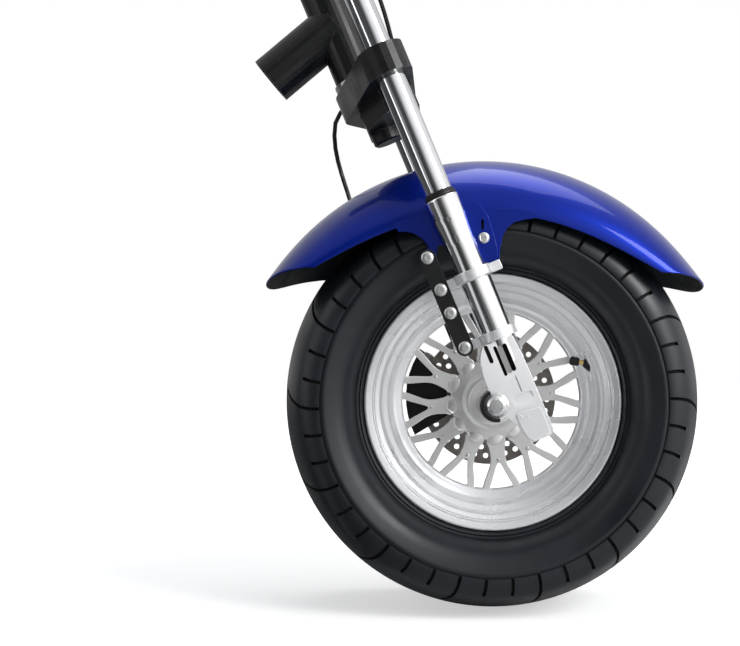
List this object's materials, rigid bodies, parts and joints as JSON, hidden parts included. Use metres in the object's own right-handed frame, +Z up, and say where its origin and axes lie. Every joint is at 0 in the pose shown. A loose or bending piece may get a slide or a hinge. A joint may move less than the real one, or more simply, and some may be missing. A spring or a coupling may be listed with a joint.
{
  "type": "electric motorcycle front end",
  "caption": "Telescopic front fork of an electric motorcycle with its steering head, wide tyre on a mesh-spoke cast wheel, drilled brake disc and blue mudguard.",
  "frame": {"origin": "centre of the head tube, on the steering axis, where the vehicle's frame holds the front end", "axes": "+X forward along the vehicle, +Y to its left, +Z up; the steering axis leans back 22.6 degrees"},
  "size_m": [0.5009, 0.312, 0.7658],
  "materials": {
    "black_paint": "satin black paint",
    "blue_paint": "deep gloss blue paint",
    "hard_chrome": "hard chromed tube",
    "cast_alloy": "polished casting",
    "polished_alloy": "machined and polished",
    "brake_steel": "swept brake steel",
    "zinc_steel": "bright zinc plate",
    "tyre": "matt rubber",
    "rubber": "black rubber"
  },
  "bodies": {
    "steering_head": {"head_tube": "black_paint", "bearing_cup_upper": "zinc_steel", "bearing_cup_lower": "zinc_steel"},
    "fork": {"axle": "zinc_steel", "axle_nut_left": "zinc_steel", "axle_nut_right": "zinc_steel", "axle_spacer_left": "zinc_steel", "axle_spacer_right": "zinc_steel", "brake_hose": "rubber", "caliper": "black_paint", "caliper_bracket": "zinc_steel", "clamp_lower_left": "polished_alloy", "clamp_lower_right": "polished_alloy", "clamp_upper_left": "polished_alloy", "clamp_upper_right": "polished_alloy", "dust_seal_left": "rubber", "dust_seal_right": "rubber", "fork_cap_left": "zinc_steel", "fork_cap_right": "zinc_steel", "hose_banjo": "zinc_steel", "hose_clip": "black_paint", "hose_union": "zinc_steel", "link_plate_left": "black_paint", "link_plate_right": "black_paint", "lower_yoke": "black_paint", "mudguard": "blue_paint", "slider_left": "cast_alloy", "slider_right": "cast_alloy", "stanchion_left": "hard_chrome", "stanchion_right": "hard_chrome", "steering_stem": "zinc_steel", "stem_nut": "zinc_steel", "upper_yoke": "black_paint"},
    "wheel": {"tyre": "tyre", "rim": "polished_alloy", "brake_disc": "brake_steel", "valve_stem": "rubber"}
  },
  "joints": [
    {"name": "steer", "type": "hinge", "parent": "steering_head", "child": "fork", "pos_m": [0, 0, 0], "axis": [-0.3843, 0, 0.9232], "range_deg": [-35, 35]},
    {"name": "wheel_spin", "type": "hinge", "parent": "fork", "child": "wheel", "pos_m": [0.17485, 0, -0.42006], "axis": [0, 1, 0], "continuous": true}
  ]
}
